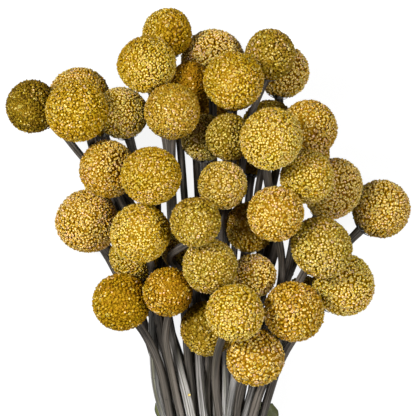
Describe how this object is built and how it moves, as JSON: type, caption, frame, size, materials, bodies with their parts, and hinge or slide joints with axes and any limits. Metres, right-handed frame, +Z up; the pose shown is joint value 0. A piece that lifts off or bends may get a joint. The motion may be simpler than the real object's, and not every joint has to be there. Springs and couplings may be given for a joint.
{
  "type": "dried flower bunch",
  "caption": "Tied bunch of dried billy buttons laid down: round yellow floret heads on slim bare stems, bound at the neck with a green ribbon bow.",
  "frame": {"origin": "on the floor under the middle of the bunch, at the bottom centre of its box", "axes": "+Y along the stems from the cut ends to the heads, +X across the bunch to the picture's right, +Z up, away from the floor"},
  "size_m": [0.2124, 0.4318, 0.1135],
  "materials": {
    "floret_gold": "matt, densely beaded",
    "floret_amber": "matt, densely beaded",
    "floret_olive": "matt, densely beaded",
    "floret_moss": "matt, densely beaded",
    "floret_straw": "matt, densely beaded",
    "ribbon_satin": "satin"
  },
  "bodies": {
    "root": {"flower_01": "floret_gold", "flower_02": "floret_gold", "flower_03": "floret_amber", "flower_04": "floret_gold", "flower_05": "floret_olive", "flower_06": "floret_amber", "flower_07": "floret_moss", "flower_08": "floret_amber", "flower_09": "floret_gold", "flower_10": "floret_gold", "flower_11": "floret_straw", "flower_12": "floret_amber", "flower_13": "floret_amber", "flower_14": "floret_gold", "flower_15": "floret_moss", "flower_16": "floret_moss", "flower_17": "floret_moss", "flower_18": "floret_gold", "flower_19": "floret_amber", "flower_20": "floret_gold", "flower_21": "floret_amber", "flower_22": "floret_amber", "flower_23": "floret_straw", "flower_24": "floret_olive", "flower_25": "floret_amber", "flower_26": "floret_amber", "flower_27": "floret_gold", "flower_28": "floret_gold", "flower_29": "floret_olive", "flower_30": "floret_amber", "flower_31": "floret_amber", "flower_32": "floret_olive", "flower_33": "floret_gold", "flower_34": "floret_gold", "flower_35": "floret_amber", "flower_36": "floret_gold", "flower_37": "floret_olive", "flower_38": "floret_amber", "flower_39": "floret_amber", "flower_40": "floret_moss", "flower_41": "floret_amber", "flower_42": "floret_gold", "flower_43": "floret_amber", "flower_44": "floret_gold", "flower_45": "floret_olive", "flower_46": "floret_gold", "flower_47": "floret_amber", "flower_48": "floret_gold", "ribbon_band": "ribbon_satin", "ribbon_knot": "ribbon_satin", "bow_loop_left": "ribbon_satin", "bow_loop_right": "ribbon_satin", "ribbon_tail_left": "ribbon_satin", "ribbon_tail_right": "ribbon_satin"}
  },
  "joints": []
}
